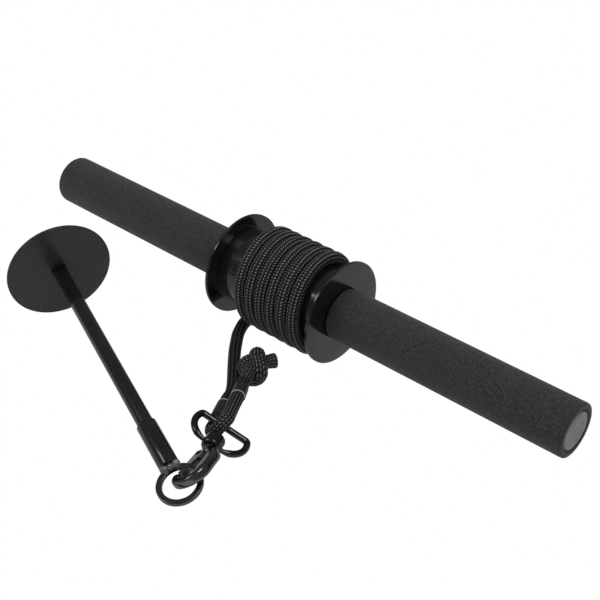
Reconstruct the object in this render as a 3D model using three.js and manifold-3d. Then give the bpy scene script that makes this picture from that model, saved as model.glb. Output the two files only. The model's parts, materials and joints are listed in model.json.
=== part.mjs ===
import * as THREE from "three";
import { mergeVertices } from "three/addons/utils/BufferGeometryUtils.js";
import Module from "manifold-3d";

const wasm = await Module();
wasm.setup();

// Wrist roller, in millimetres. X runs along the bar, Z is up, and the floor is Z = 0.
// The spool is wound with one rope, whose free end holds a swivel snap hook and a loading pin.

// Clearances shared by all pieces
const seatGap = 0.3;
const overrun = 2;

// Bar, foam grips and end plugs
const barLength = 433;
const tubeRadius = 12.7;
const tubeWall = 1.6;
const foamThickness = 4.5;
const foamEdge = 1.6;
const plugHead = 3;
const plugDome = 0.6;
const plugSpigot = 14;
const plugWall = 1.8;

// Spool
const spoolWidth = 85.1;
const flangeRadius = 35.34;
const flangeThickness = 2;
const flangeEdge = 0.4;
const drumRadius = 26;
const drumWall = 1.5;
const restFlat = 6.4;

// Rope on the spool
const ropeRadius = 4;
const ropePitch = 9.1;
const ropeSway = 1.1;
const windingLift = 0.6;
const windingRadius = drumRadius + ropeRadius + windingLift;
const firstTurn = -18.5;
const turnsFrom = -180;
const turnsTo = 2010;
const turnInBy = 90;
const insideArc = 15;
const swayAngle = 50;
const loopSteps = 24;
const loopSides = 6;
const stopperRadius = 5.2;

// Rope between the spool and the hook
const ropeSides = 10;
const bandWall = 0.5;
const standingBandLength = 14;
const tailBandLength = 9;
const bandNeck = 0.4;
const bightStart = -6.5;
const bightShift = 4.9;
const bightBulge = 0.8;

// Strap eye of the swivel
const eyeWire = 2.1;
const eyeWireEnd = 1.5;
const eyeEndSteps = 3;
const eyeHalfBar = 14.5;
const eyeCorner = 1.8;
const eyeCornerTurn = 67;
const eyeArc = 12.4;
const collarRadius = 6;
const collarStart = 11.8;
const collarLength = 10;
const collarBevel = 1;
const counterbore = 2.8;
const headRadius = 4.2;
const studRadius = 2.6;

// Snap hook
const hookWidth = 18.7;
const hookLength = 33.6;
const hookSpine = 3.3;
const hookBend = 2.5;
const hookNose = 2.2;
const neckRise = 3;
const shoulderRadius = 3.8;
const shoulderRise = 1.5;
const lugHalf = 1.1;
const lugRadius = 2.1;
const rivetRadius = 1.1;
const rivetX = -3.9;
const rivetY = 5.6;
const rivetHead = 0.6;
const gateWall = 0.7;
const gateHeadHalf = 3.2;
const gateTipHalf = 1.4;
const gateTipX = -8.2;
const gateTipY = 23.2;
const springWire = 0.25;
const springRadius = 1;
const springTurns = 3;

// Loading pin
const ringOuter = 13.69;
const ringInner = 10.19;
const ringThickness = 2.7;
const sleeveRadius = 6.15;
const sleeveFar = 49.5;
const sleeveBore = 24;
const sleeveBevel = 0.7;
const rodRadius = 4.94;
const discRadius = 35.28;
const discThickness = 2;
const discEdge = 0.4;
const discSeat = 1;
const pinLength = 202.2;
const screwRadius = 2.9;
const screwHead = 5.6;
const screwLength = 16;
const weldBead = 2.3;

// Where the free end lies, and how its pieces are turned, in millimetres and degrees
const eyePlace = new THREE.Vector3(50.67, -113.72, 8.79);
const swivelHeading = -69.9;
const swivelPitch = 1.1;
const eyeRoll = -22.8;
const hookRoll = 36.6;
const pinHeading = -20.75;
const pinRoll = 19.45;
const ringPlace = new THREE.Vector2(66.5, -166);
const ringLift = 0.35;
const floorLift = 0.15;

// Values that follow from the sizes above
const halfBar = barLength / 2;
const barHeight = Math.sqrt(flangeRadius ** 2 - (restFlat / 2) ** 2);
const foamRadius = tubeRadius + seatGap + foamThickness;
const flangeInner = spoolWidth / 2;
const flangeOuter = flangeInner + flangeThickness;
const tubeEnd = halfBar - plugHead - seatGap;
const collarEnd = collarStart + collarLength;
const neckStart = collarEnd + seatGap;
const wrapRadius = eyeWire + seatGap + ropeRadius;
const insideRadius = (tubeRadius + drumRadius - drumWall) / 2;
const innerEnd = turnsTo + turnInBy + insideArc;
const stopperReach = 2 * ropeRadius + seatGap + stopperRadius;

const rad = THREE.MathUtils.degToRad;

// Finishes
const finishes = {
  foam: { color: 0x2a2a2b, roughness: 0.95, metalness: 0 },
  blackPaint: { color: 0x111112, roughness: 0.22, metalness: 0.2 },
  bareSteel: { color: 0x8a8a8a, roughness: 0.4, metalness: 1 },
  rope: { color: 0x1b1b1c, roughness: 0.9, metalness: 0 },
  shrinkBand: { color: 0x0e0e0f, roughness: 0.45, metalness: 0 },
  blackPlate: { color: 0x26262a, roughness: 0.25, metalness: 1 },
  gateSteel: { color: 0xb8b8ba, roughness: 0.3, metalness: 1 },
  plugGrey: { color: 0x8d8f90, roughness: 0.5, metalness: 0 },
  satinPlate: { color: 0x3a3a3c, roughness: 0.35, metalness: 0.6 },
};

function piece(name, geometry, finish) {
  const mesh = new THREE.Mesh(geometry, new THREE.MeshStandardMaterial(finishes[finish]));
  mesh.name = name;
  return mesh;
}

// A closed shape as a body that can be joined and cut
function solid(geometry) {
  const bare = geometry.clone();
  bare.deleteAttribute("normal");
  bare.deleteAttribute("uv");
  const merged = mergeVertices(bare, 1e-5);
  return new wasm.Manifold(new wasm.Mesh({
    numProp: 3,
    vertProperties: new Float32Array(merged.attributes.position.array),
    triVerts: new Uint32Array(merged.index.array),
  }));
}

function geometryOf(body) {
  const mesh = body.getMesh();
  const geometry = new THREE.BufferGeometry();
  geometry.setAttribute("position", new THREE.BufferAttribute(new Float32Array(mesh.vertProperties), 3));
  geometry.setIndex(new THREE.BufferAttribute(new Uint32Array(mesh.triVerts), 1));
  geometry.computeVertexNormals();
  return geometry;
}

function cut(geometry, ...tools) {
  return geometryOf(tools.reduce((body, tool) => body.subtract(solid(tool)), solid(geometry)));
}

function join(...shapes) {
  return geometryOf(shapes.map(solid).reduce((body, other) => body.add(other)));
}

// A profile of [along, radius] points turned about the X axis
function turned(profile, segments) {
  const loop = profile.map(([along, radius]) => new THREE.Vector2(radius, along)).reverse();
  const closed = profile.every(([, radius]) => radius > 0);
  if (closed) loop.push(loop[0].clone());
  const geometry = new THREE.LatheGeometry(loop, segments);
  geometry.rotateZ(-Math.PI / 2);
  return geometry;
}

function sleeveShape(from, to, inner, outer, segments) {
  return turned([[to, inner], [to, outer], [from, outer], [from, inner]], segments);
}

function rodShape(from, to, radius, segments) {
  return turned([[to, 0], [to, radius], [from, radius], [from, 0]], segments);
}

// Same solids, turned about Y instead
function alongY(geometry) {
  return geometry.rotateZ(Math.PI / 2);
}

// A tube through the given points, with flat ends, its section carried along without twist
function tube(points, radii, sides, firstWay, lastWay) {
  const radiusAt = (i) => (Array.isArray(radii) ? radii[i] : radii);
  const count = points.length;
  const tangents = points.map((_, i) =>
    points[Math.min(i + 1, count - 1)].clone().sub(points[Math.max(i - 1, 0)]).normalize());
  if (firstWay) tangents[0] = firstWay;
  if (lastWay) tangents[count - 1] = lastWay;
  const start = Math.abs(tangents[0].z) < 0.9 ? new THREE.Vector3(0, 0, 1) : new THREE.Vector3(1, 0, 0);
  let across = start.sub(tangents[0].clone().multiplyScalar(start.dot(tangents[0]))).normalize();
  const place = [];
  for (let i = 0; i < count; i += 1) {
    if (i > 0) {
      const turn = new THREE.Quaternion().setFromUnitVectors(tangents[i - 1], tangents[i]);
      across = across.clone().applyQuaternion(turn);
    }
    const over = new THREE.Vector3().crossVectors(tangents[i], across);
    for (let k = 0; k < sides; k += 1) {
      const angle = (2 * Math.PI * k) / sides;
      const p = points[i].clone()
        .addScaledVector(across, radiusAt(i) * Math.cos(angle))
        .addScaledVector(over, radiusAt(i) * Math.sin(angle));
      place.push(p.x, p.y, p.z);
    }
  }
  const faces = [];
  for (let i = 0; i < count - 1; i += 1) {
    for (let k = 0; k < sides; k += 1) {
      const a = i * sides + k;
      const b = i * sides + ((k + 1) % sides);
      faces.push(a, b, b + sides, a, b + sides, a + sides);
    }
  }
  const last = (count - 1) * sides;
  for (let k = 1; k < sides - 1; k += 1) {
    faces.push(0, k + 1, k);
    faces.push(last, last + k, last + k + 1);
  }
  const geometry = new THREE.BufferGeometry();
  geometry.setAttribute("position", new THREE.Float32BufferAttribute(place, 3));
  geometry.setIndex(faces);
  return geometry;
}

function smooth(points, step) {
  const curve = new THREE.CatmullRomCurve3(points, false, "centripetal");
  const count = Math.max(2, Math.round(curve.getLength() / step));
  return curve.getSpacedPoints(count);
}

// Local axes: x and y given, z completes them
function frameFrom(origin, x, y) {
  const z = new THREE.Vector3().crossVectors(x, y);
  const group = new THREE.Group();
  const matrix = new THREE.Matrix4().makeBasis(x, y, z).setPosition(origin);
  matrix.decompose(group.position, group.quaternion, group.scale);
  return group;
}

// Axes of a piece that points along a heading and pitch, rolled about that direction
function pointing(heading, pitch, roll) {
  const ahead = new THREE.Vector3(
    Math.cos(rad(pitch)) * Math.cos(rad(heading)),
    Math.cos(rad(pitch)) * Math.sin(rad(heading)),
    Math.sin(rad(pitch)),
  );
  const side = new THREE.Vector3(-ahead.y, ahead.x, 0).normalize();
  const above = new THREE.Vector3().crossVectors(ahead, side);
  const rolled = side.clone().multiplyScalar(Math.cos(rad(roll))).addScaledVector(above, Math.sin(rad(roll)));
  return { ahead, side, above, rolled };
}

// The bar: one steel tube with a foam grip and a plug at each end
function coreTube() {
  return sleeveShape(-tubeEnd, tubeEnd, tubeRadius - tubeWall, tubeRadius, 32);
}

function grip(side) {
  const inner = tubeRadius + seatGap;
  const start = flangeOuter + seatGap;
  const cornerShare = 0.3;
  const profile = [
    [halfBar, inner],
    [halfBar, foamRadius - foamEdge],
    [halfBar - foamEdge * cornerShare, foamRadius - foamEdge * cornerShare],
    [halfBar - foamEdge, foamRadius],
    [start, foamRadius],
    [start, inner],
  ];
  const geometry = turned(profile, 40);
  if (side < 0) geometry.rotateZ(Math.PI);
  return geometry;
}

function plug(side) {
  const bore = tubeRadius - tubeWall - seatGap;
  const face = halfBar - plugDome;
  const profile = [
    [halfBar, 0],
    [face, tubeRadius - plugDome],
    [face - plugDome, tubeRadius],
    [tubeEnd + seatGap, tubeRadius],
    [tubeEnd + seatGap, bore],
    [tubeEnd - plugSpigot, bore],
    [tubeEnd - plugSpigot, bore - plugWall],
    [tubeEnd, bore - plugWall],
    [tubeEnd, 0],
  ];
  const geometry = turned(profile, 32);
  if (side < 0) geometry.rotateZ(Math.PI);
  return geometry;
}

// A round plate whose rim has a narrow flat underneath, on which it rests without rolling
function floorCut(radius) {
  const drop = Math.sqrt(radius ** 2 - (restFlat / 2) ** 2);
  const block = new THREE.BoxGeometry(2 * radius, 2 * radius, radius);
  block.translate(0, 0, -drop - radius / 2);
  return block;
}

function flange(side) {
  const inner = tubeRadius + seatGap;
  const profile = [
    [flangeOuter, inner],
    [flangeOuter, flangeRadius - flangeEdge],
    [flangeOuter - flangeEdge, flangeRadius],
    [flangeInner + flangeEdge, flangeRadius],
    [flangeInner, flangeRadius - flangeEdge],
    [flangeInner, inner],
  ];
  const geometry = turned(profile, 64);
  if (side < 0) geometry.rotateZ(Math.PI);
  return cut(geometry, floorCut(flangeRadius).translate(side * flangeInner, 0, 0));
}

// Centre of the wound rope at an angle counted from the top towards the front, without limit
function woundPoint(angle) {
  const inwards = THREE.MathUtils.smoothstep(angle, turnsTo, turnsTo + turnInBy);
  const radius = THREE.MathUtils.lerp(windingRadius, insideRadius, inwards);
  const past = angle - swayAngle;
  const along = firstTurn + (ropePitch * past) / 360 + ropeSway * Math.sin(rad(past));
  return new THREE.Vector3(along, -radius * Math.sin(rad(angle)), radius * Math.cos(rad(angle)));
}

// The stopper knot sits inside the drum, square to the rope's straight end
function stopperPlace() {
  const chordTurn = 2 * Math.asin(stopperReach / (2 * insideRadius));
  return woundPoint(innerEnd + THREE.MathUtils.radToDeg(chordTurn));
}

function windingPath() {
  const points = [];
  const step = 360 / loopSteps;
  points.push(woundPoint(turnsFrom).add(new THREE.Vector3(0, -2 * ropeRadius, 0)));
  for (let angle = turnsFrom; angle <= innerEnd; angle += step) {
    points.push(woundPoint(angle));
  }
  const ahead = stopperPlace().sub(points.at(-1)).normalize();
  points.push(points.at(-1).clone().addScaledVector(ahead, 2 * ropeRadius));
  return points;
}

// Least distance between the surfaces of the wound rope's own turns
function selfGap(points) {
  const apart = Math.round(loopSteps / 2);
  let least = Infinity;
  points.forEach((p, i) => {
    for (let k = i + apart; k < points.length - 1; k += 1) {
      const line = new THREE.Line3(points[k], points[k + 1]);
      least = Math.min(least, line.closestPointToPoint(p, true, new THREE.Vector3()).distanceTo(p));
    }
  });
  return least - 2 * ropeRadius;
}

// Thin steel drum between the flanges, slotted where the rope goes in
function drum(path) {
  const reach = flangeInner - seatGap;
  const shell = sleeveShape(-reach, reach, drumRadius - drumWall, drumRadius, 48);
  const sinking = Math.floor((turnsTo - turnsFrom) * loopSteps / 360) + 1;
  const slot = tube(path.slice(sinking), ropeRadius + 2 * seatGap, ropeSides);
  return cut(shell, slot);
}

// Strap eye: a wire loop with one straight side, cast in one with the swivel's collar
function eyeLoop() {
  const cornerSteps = 4;
  const arcSteps = 12;
  const quarter = 90;
  const half = [new THREE.Vector2(0, 0), new THREE.Vector2(eyeHalfBar, 0)];
  for (let i = 1; i <= cornerSteps; i += 1) {
    const t = rad((eyeCornerTurn * i) / cornerSteps - quarter);
    half.push(new THREE.Vector2(eyeHalfBar + eyeCorner * Math.cos(t), eyeCorner * (1 + Math.sin(t))));
  }
  const from = eyeCornerTurn - quarter;
  const end = half.at(-1);
  const centre = new THREE.Vector2(Math.cos(rad(from)), Math.sin(rad(from))).multiplyScalar(-eyeArc).add(end);
  const collarWall = (collarRadius + studRadius + seatGap) / 2;
  const last = 2 * quarter - THREE.MathUtils.radToDeg(Math.acos((centre.x - collarWall) / eyeArc));
  for (let i = 1; i <= arcSteps; i += 1) {
    const t = rad(from + ((last - from) * i) / arcSteps);
    half.push(new THREE.Vector2(centre.x + eyeArc * Math.cos(t), centre.y + eyeArc * Math.sin(t)));
  }
  const flat = (p, side) => new THREE.Vector3(side * p.x, p.y, 0);
  return [...half.slice(1).reverse().map((p) => flat(p, -1)), ...half.map((p) => flat(p, 1))];
}

function swivelEye() {
  const collar = alongY(turned([
    [collarEnd, studRadius + seatGap],
    [collarEnd, collarRadius - collarBevel],
    [collarEnd - collarBevel, collarRadius],
    [collarStart + collarBevel, collarRadius],
    [collarStart, collarRadius - collarBevel],
    [collarStart, headRadius + seatGap],
    [collarStart + counterbore, headRadius + seatGap],
    [collarStart + counterbore, studRadius + seatGap],
  ], 24));
  const loop = eyeLoop();
  const isEnd = (i) => i < eyeEndSteps || i >= loop.length - eyeEndSteps;
  const radii = loop.map((_, i) => (isEnd(i) ? eyeWireEnd : eyeWire));
  return join(tube(loop, radii, 8), collar);
}

// Snap hook: a bent body with a stud that turns in the collar. Its neck's points are
// shares of the half width and of the neck's rise.
function hookPath() {
  const half = hookWidth / 2;
  const neckShares = [[0, 0.5], [0.375, 1.5], [0.75, 2.5], [1, 3.8]];
  const points = neckShares.map(([across, up]) => new THREE.Vector3(half * across, neckRise * up, 0));
  const bendSteps = 12;
  const bendPlace = hookLength - half;
  points.push(new THREE.Vector3(half, (points.at(-1).y + bendPlace) / 2, 0));
  for (let i = 0; i <= bendSteps; i += 1) {
    const t = (Math.PI * i) / bendSteps;
    points.push(new THREE.Vector3(half * Math.cos(t), bendPlace + half * Math.sin(t), 0));
  }
  return points;
}

function hookBody() {
  const path = hookPath();
  const neckSteps = 3;
  const radii = path.map((_, i) => {
    if (i < neckSteps) return hookBend;
    const share = i / (path.length - 1);
    return share < 1 / 2
      ? THREE.MathUtils.lerp(hookSpine, hookBend, 2 * share)
      : THREE.MathUtils.lerp(hookBend, hookNose, 2 * share - 1);
  });
  const stud = alongY(rodShape(collarStart + seatGap - neckStart, neckRise, studRadius, 16));
  const head = alongY(rodShape(
    collarStart + seatGap - neckStart,
    collarStart + counterbore / 2 - neckStart,
    (headRadius + studRadius) / 2,
    16,
  ));
  const shoulder = alongY(rodShape(0, shoulderRise, shoulderRadius, 20));
  const lug = new THREE.CylinderGeometry(lugRadius, lugRadius, 2 * lugHalf, 20);
  lug.rotateX(Math.PI / 2).translate(rivetX, rivetY, 0);
  const rootLength = Math.hypot(rivetX, rivetY - shoulderRise);
  const lugRoot = new THREE.BoxGeometry(rootLength, 2 * lugRadius, 2 * lugHalf);
  lugRoot.rotateZ(Math.atan2(shoulderRise - rivetY, -rivetX));
  lugRoot.translate(rivetX / 2, (rivetY + shoulderRise) / 2, 0);
  const hole = new THREE.CylinderGeometry(rivetRadius + seatGap, rivetRadius + seatGap, 4 * hookBend, 12);
  hole.rotateX(Math.PI / 2).translate(rivetX, rivetY, 0);
  return cut(join(tube(path, radii, 10), stud, head, shoulder, lug, lugRoot), hole);
}

function studWasher() {
  return alongY(sleeveShape(
    collarStart + counterbore / 2 + seatGap - neckStart,
    collarStart + counterbore - seatGap - neckStart,
    studRadius + seatGap,
    headRadius,
    16,
  ));
}

// Gate: a pressed channel that straddles the lug and closes at the nose, in axes at its rivet
const gateArm = new THREE.Vector2(gateTipX - rivetX, gateTipY - rivetY);
const gateTilt = -Math.atan2(gateArm.x, gateArm.y);

function gateOutline(inset) {
  const headHalf = gateHeadHalf - inset;
  const tipHalf = gateTipHalf - inset;
  const length = gateArm.length() - inset;
  const shape = new THREE.Shape();
  shape.moveTo(headHalf, 0);
  shape.lineTo(tipHalf, length);
  shape.lineTo(-tipHalf, length);
  shape.lineTo(-headHalf, 0);
  shape.absarc(0, 0, headHalf, Math.PI, 2 * Math.PI, false);
  return shape;
}

function onRivet(geometry) {
  return geometry.rotateZ(gateTilt).translate(rivetX, rivetY, 0);
}

function slab(outline, half) {
  const options = { depth: 2 * half, bevelEnabled: false, curveSegments: 8 };
  return new THREE.ExtrudeGeometry(outline, options).translate(0, 0, -half);
}

function gate() {
  const inside = lugHalf + seatGap;
  const length = gateArm.length();
  const body = slab(gateOutline(0), inside + gateWall);
  const hollow = slab(gateOutline(gateWall), inside);
  const openSide = hollow.clone().translate(gateHeadHalf, 0, 0);
  const openFoot = new THREE.BoxGeometry(4 * gateHeadHalf, 2 * gateHeadHalf, 2 * inside);
  openFoot.translate(0, -gateHeadHalf, 0);
  const openTip = new THREE.BoxGeometry(gateHeadHalf, 2 * gateTipHalf, 2 * inside);
  openTip.translate(gateHeadHalf / 2, length - gateTipHalf - gateWall, 0);
  const rivetHole = new THREE.CylinderGeometry(rivetRadius + seatGap, rivetRadius + seatGap, 4 * inside, 12);
  rivetHole.rotateX(Math.PI / 2);
  return onRivet(cut(body, hollow, openSide, openFoot, openTip, rivetHole));
}

function gateRivet() {
  const half = lugHalf + seatGap + gateWall + seatGap;
  const headWide = rivetRadius + 3 * seatGap;
  const shape = turned([
    [half + rivetHead, 0],
    [half + rivetHead, rivetRadius],
    [half, headWide],
    [half, rivetRadius],
    [-half, rivetRadius],
    [-half, headWide],
    [-half - rivetHead, rivetRadius],
    [-half - rivetHead, 0],
  ], 12);
  return shape.rotateY(-Math.PI / 2).translate(rivetX, rivetY, 0);
}

// Small coil between the gate's cheeks, with one leg along the gate's back
function gateSpring() {
  const stepsPerTurn = 8;
  const pitch = 2 * springWire + 2 * seatGap / 3;
  const centreY = lugRadius + seatGap + springWire + springRadius;
  const centreX = -gateHeadHalf + gateWall + seatGap + 2 * springWire + springRadius;
  const count = springTurns * stepsPerTurn;
  const points = [];
  for (let i = 0; i <= count; i += 1) {
    const angle = (2 * Math.PI * i) / stepsPerTurn;
    points.push(new THREE.Vector3(
      centreX + springRadius * Math.cos(angle),
      centreY + springRadius * Math.sin(angle),
      ((i - count / 2) * pitch) / stepsPerTurn,
    ));
  }
  const leg = points.at(-1).clone().add(new THREE.Vector3(0, 4 * springRadius, 0));
  points.push(leg);
  return onRivet(tube(points, springWire, 5));
}

// Loading pin: its x axis runs from the disc to the ring, and its origin is the ring's centre
function ring() {
  const half = ringThickness / 2;
  return sleeveShape(-half, half, ringInner, ringOuter, 48).rotateY(-Math.PI / 2);
}

function pinSleeve() {
  const near = -ringOuter - seatGap;
  const bore = rodRadius + seatGap;
  return turned([
    [near, 0],
    [near, sleeveRadius],
    [sleeveBevel - sleeveFar, sleeveRadius],
    [-sleeveFar, sleeveRadius - sleeveBevel],
    [-sleeveFar, bore],
    [-sleeveBore, bore],
    [-sleeveBore, 0],
  ], 28);
}

// Weld beads in the corner between the ring's upper face and the sleeve's end
function ringWeld() {
  const beadShares = [-0.62, 0, 0.62];
  const blobs = beadShares.map((share) => {
    const blob = new THREE.IcosahedronGeometry(weldBead, 2);
    blob.translate(
      -ringOuter + weldBead / 2,
      share * sleeveRadius,
      ringThickness / 2 + weldBead / 3,
    );
    return blob;
  });
  const seat = new THREE.BoxGeometry(4 * weldBead, 4 * sleeveRadius, ringThickness + 2 * seatGap);
  seat.translate(-ringOuter, 0, 0);
  const sleeveEnd = rodShape(-ringOuter - 4 * weldBead, -ringOuter, 2 * sleeveRadius, 12);
  return cut(join(...blobs), seat, sleeveEnd);
}

function rod() {
  const far = -pinLength - discSeat + seatGap;
  const shape = rodShape(far, -sleeveBore - seatGap, rodRadius, 28);
  const thread = rodShape(far - overrun, -pinLength + screwLength, screwRadius + seatGap, 16);
  return cut(shape, thread);
}

function disc() {
  const front = -pinLength;
  const back = front - discThickness;
  const inner = screwRadius + seatGap;
  const seat = rodRadius + seatGap;
  return turned([
    [front - discSeat, inner],
    [front - discSeat, seat],
    [front, seat],
    [front, discRadius - discEdge],
    [front - discEdge, discRadius],
    [back + discEdge, discRadius],
    [back, discRadius - discEdge],
    [back, screwHead + seatGap],
  ], 64);
}

function discScrew() {
  const back = -pinLength - discThickness;
  return turned([
    [screwLength - pinLength - seatGap, 0],
    [screwLength - pinLength - seatGap, screwRadius],
    [-pinLength - discSeat, screwRadius],
    [back, screwHead],
    [back, 0],
  ], 20);
}

// The free rope, in the roller's floor frame: centre points from the spool to the knot
const ropeRest = ropeRadius + floorLift;
const bandRest = ropeRadius + bandWall + bandNeck;
const leadTable = [
  [-23.9, -15.5, 4.3],
  [-22.3, -20.8, ropeRest],
  [-19.9, -25.8, ropeRest],
  [-16.9, -31.1, ropeRest],
  [-11.3, -38.7, ropeRest],
  [-5.4, -46.2, ropeRest],
  [0.6, -53.2, ropeRest],
  [7.5, -60.9, ropeRest],
  [14, -68, ropeRest],
  [20.9, -75.7, ropeRest],
  [25.7, -82.1, 4.4],
  [29, -89.7, 4.8],
];
const standingBandTable = [
  [30.8, -93.3, bandRest],
  [37.4, -106.3, bandRest],
];
const underBarTable = [
  [39.7, -109.5, 4.8],
];
const overBarTable = [
  [47.9, -107.8, 13.4],
];
const tailTable = [
  [43.2, -99.9, 12],
  [39.4, -93.1, 11.2],
];
const tailBandTable = [
  [36.7, -88, 10.8],
  [32.2, -80.6, 10.5],
];
const knotAcross = 8.2;
const knotAlong = 11;
const knotTall = 9;
const knotPlace = new THREE.Vector3(24, -61.7, 9.6);
const knotEntry = new THREE.Vector3(28.2, -73.3, 10);
const stubTable = [
  [24.6, -54, 9.6],
  [25.2, -46.5, 9.2],
  [26.8, -40, 9.2],
];

const vectors = (table) => table.map(([x, y, z]) => new THREE.Vector3(x, y, z));

// Part of the free rope between two points of its run, necked down where a band sits.
// The first part starts square to the spool's rope.
const fineStep = 1;
const spoolWay = new THREE.Vector3(0, -1, 0);
function ropePiece(run, from, to, every, neck) {
  const nearest = (point) => run.reduce(
    (best, p, i) => (p.distanceTo(point) < run[best].distanceTo(point) ? i : best),
    0,
  );
  const first = from ? nearest(from) : 0;
  const last = to ? nearest(to) : run.length - 1;
  const way = (i) => run[Math.min(i + 1, run.length - 1)].clone().sub(run[Math.max(i - 1, 0)]).normalize();
  const steps = Math.max(2, Math.round((last - first) / every));
  const points = [];
  for (let i = 0; i <= steps; i += 1) {
    points.push(run[Math.round(first + ((last - first) * i) / steps)].clone());
  }
  if (from) points[0].addScaledVector(way(first), seatGap / 2);
  if (to) points[steps].addScaledVector(way(last), -seatGap / 2);
  let radii = ropeRadius;
  if (neck) {
    const ahead = neck[1].clone().sub(neck[0]).normalize();
    const length = neck[1].distanceTo(neck[0]);
    radii = points.map((p) => {
      const along = p.clone().sub(neck[0]).dot(ahead);
      const banded = along > -every * fineStep && along < length + every * fineStep;
      return banded ? ropeRadius - bandNeck : ropeRadius;
    });
  }
  return tube(points, radii, ropeSides, from ? way(first) : spoolWay, way(last));
}

function band(from, to, length) {
  const inner = ropeRadius - bandNeck + seatGap;
  const shape = sleeveShape(-length / 2, length / 2, inner, inner + bandWall, 20);
  const ahead = to.clone().sub(from).normalize();
  shape.applyQuaternion(new THREE.Quaternion().setFromUnitVectors(new THREE.Vector3(1, 0, 0), ahead));
  const middle = from.clone().add(to).multiplyScalar(1 / 2);
  return shape.translate(middle.x, middle.y, middle.z);
}

function knot() {
  const body = new THREE.IcosahedronGeometry(1, 4);
  body.scale(knotAcross, knotAlong, knotTall);
  body.rotateZ(Math.atan2(knotEntry.x - knotPlace.x, knotPlace.y - knotEntry.y));
  body.translate(knotPlace.x, knotPlace.y, knotPlace.z);
  const stub = tube(smooth([knotPlace.clone(), ...vectors(stubTable)], ropeRadius), ropeRadius, ropeSides);
  return join(body, stub);
}

// Group of a piece's own axes, with its frame written out for everything that sits on it
const eyeAxes = pointing(swivelHeading, swivelPitch, eyeRoll);
const hookAxes = pointing(swivelHeading, swivelPitch, hookRoll);
const eyeGroup = frameFrom(eyePlace, eyeAxes.rolled, eyeAxes.ahead);
const hookPlace = eyePlace.clone().addScaledVector(eyeAxes.ahead, neckStart);
const hookGroup = frameFrom(hookPlace, hookAxes.rolled, hookAxes.ahead);

// The pin lies on its disc's rim and its ring's edge, which sets its slope
function pinAxes() {
  let pitch = 0;
  let axes;
  let ringHeight;
  const rimDrop = Math.sqrt(discRadius ** 2 - (restFlat / 2) ** 2);
  const rounds = 30;
  for (let i = 0; i < rounds; i += 1) {
    axes = pointing(pinHeading, pitch, pinRoll);
    const across = new THREE.Vector3().crossVectors(axes.ahead, axes.rolled);
    ringHeight = ringLift + ringOuter * Math.sqrt(1 - across.z ** 2) + (ringThickness / 2) * across.z;
    const rise = rimDrop * Math.cos(rad(pitch)) - ringHeight;
    pitch = -THREE.MathUtils.radToDeg(Math.asin(rise / (pinLength + discEdge)));
  }
  return { axes, place: new THREE.Vector3(ringPlace.x, ringPlace.y, ringHeight) };
}
const pin = pinAxes();
const pinGroup = frameFrom(pin.place, pin.axes.ahead, pin.axes.rolled);

// Everything below the floor, in a piece's own axes
function underFloor(group) {
  group.updateMatrixWorld(true);
  const reach = 2 * pinLength;
  const block = new THREE.BoxGeometry(4 * reach, 4 * reach, reach);
  block.translate(0, 0, -reach / 2);
  return block.applyMatrix4(group.matrixWorld.clone().invert());
}

const rollerGroup = new THREE.Group();
rollerGroup.position.z = barHeight;
const ropeGroup = new THREE.Group();

const wound = windingPath();
console.log(`least gap between turns of the wound rope ${selfGap(wound).toFixed(2)} mm`);

rollerGroup.add(
  piece("core_tube", coreTube(), "bareSteel"),
  piece("drum", drum(wound), "blackPaint"),
  piece("flange_left", flange(-1), "blackPaint"),
  piece("flange_right", flange(1), "blackPaint"),
  piece("grip_left", grip(-1), "foam"),
  piece("grip_right", grip(1), "foam"),
  piece("plug_left", plug(-1), "plugGrey"),
  piece("plug_right", plug(1), "plugGrey"),
  piece("rope_winding", tube(wound, ropeRadius, loopSides), "rope"),
);
const stopper = new THREE.IcosahedronGeometry(stopperRadius, 2);
const stopperAt = stopperPlace();
stopper.translate(stopperAt.x, stopperAt.y, stopperAt.z);
rollerGroup.add(piece("rope_stopper", stopper, "rope"));

// Lead, bight round the eye's bar, and tail
const leadStart = wound[0].clone().add(new THREE.Vector3(0, -seatGap, barHeight));
const standingBand = vectors(standingBandTable);
const tailBand = vectors(tailBandTable);
const barUp = new THREE.Vector3().crossVectors(eyeAxes.ahead, eyeAxes.rolled);
const halfTurn = 180;
function wrapPoint(angle) {
  const along = bightStart + (bightShift * angle) / halfTurn + bightBulge * Math.sin(rad(angle));
  return eyePlace.clone()
    .addScaledVector(eyeAxes.rolled, along)
    .addScaledVector(eyeAxes.ahead, wrapRadius * Math.sin(rad(angle)))
    .addScaledVector(barUp, -wrapRadius * Math.cos(rad(angle)));
}
const wrapAngles = [0, 30, 60, 90, 120, 150, halfTurn];
const underBar = vectors(underBarTable);
const overBar = vectors(overBarTable);
const freeRun = smooth([
  leadStart,
  ...vectors(leadTable),
  ...standingBand,
  ...underBar,
  ...wrapAngles.map(wrapPoint),
  ...overBar,
  ...vectors(tailTable),
  ...tailBand,
  knotEntry,
], fineStep);
const leadEvery = 5;
const bightEvery = 2;
const tailEvery = 3;
ropeGroup.add(
  piece("rope_lead", ropePiece(freeRun, null, underBar[0], leadEvery, standingBand), "rope"),
  piece("band_standing", band(...standingBand, standingBandLength), "shrinkBand"),
  piece("rope_bight", ropePiece(freeRun, underBar[0], overBar[0], bightEvery), "rope"),
  piece("rope_tail", ropePiece(freeRun, overBar[0], null, tailEvery, tailBand), "rope"),
  piece("band_tail", band(...tailBand, tailBandLength), "shrinkBand"),
  piece("rope_knot", knot(), "rope"),
);

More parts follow.
